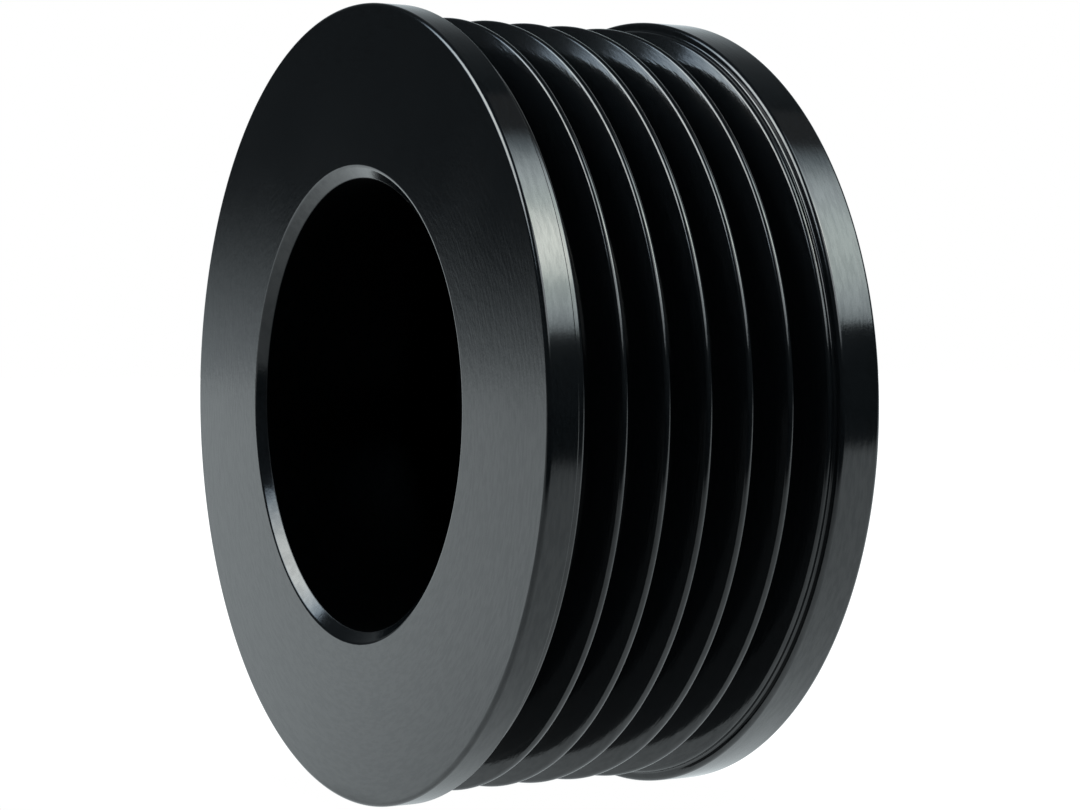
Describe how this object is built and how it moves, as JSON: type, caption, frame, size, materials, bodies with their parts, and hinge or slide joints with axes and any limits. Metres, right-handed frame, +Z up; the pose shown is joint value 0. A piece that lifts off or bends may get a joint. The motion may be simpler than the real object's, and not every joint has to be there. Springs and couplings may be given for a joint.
{
  "type": "ribbed belt pulley",
  "caption": "Flanged pulley for a ribbed belt, black anodised aluminium, with V grooves, a deep counterbore for the shaft nut and a plain shaft bore.",
  "frame": {"origin": "on the axis, halfway between the front and rear faces", "axes": "+Y along the axis from the front face, which has the counterbore, to the rear face; +Z up"},
  "size_m": [0.0634, 0.0286, 0.0634],
  "materials": {
    "black_anodised_aluminium": "semi-gloss black anodise with fine turning marks"
  },
  "bodies": {
    "root": {"pulley_body": "black_anodised_aluminium"}
  },
  "joints": []
}
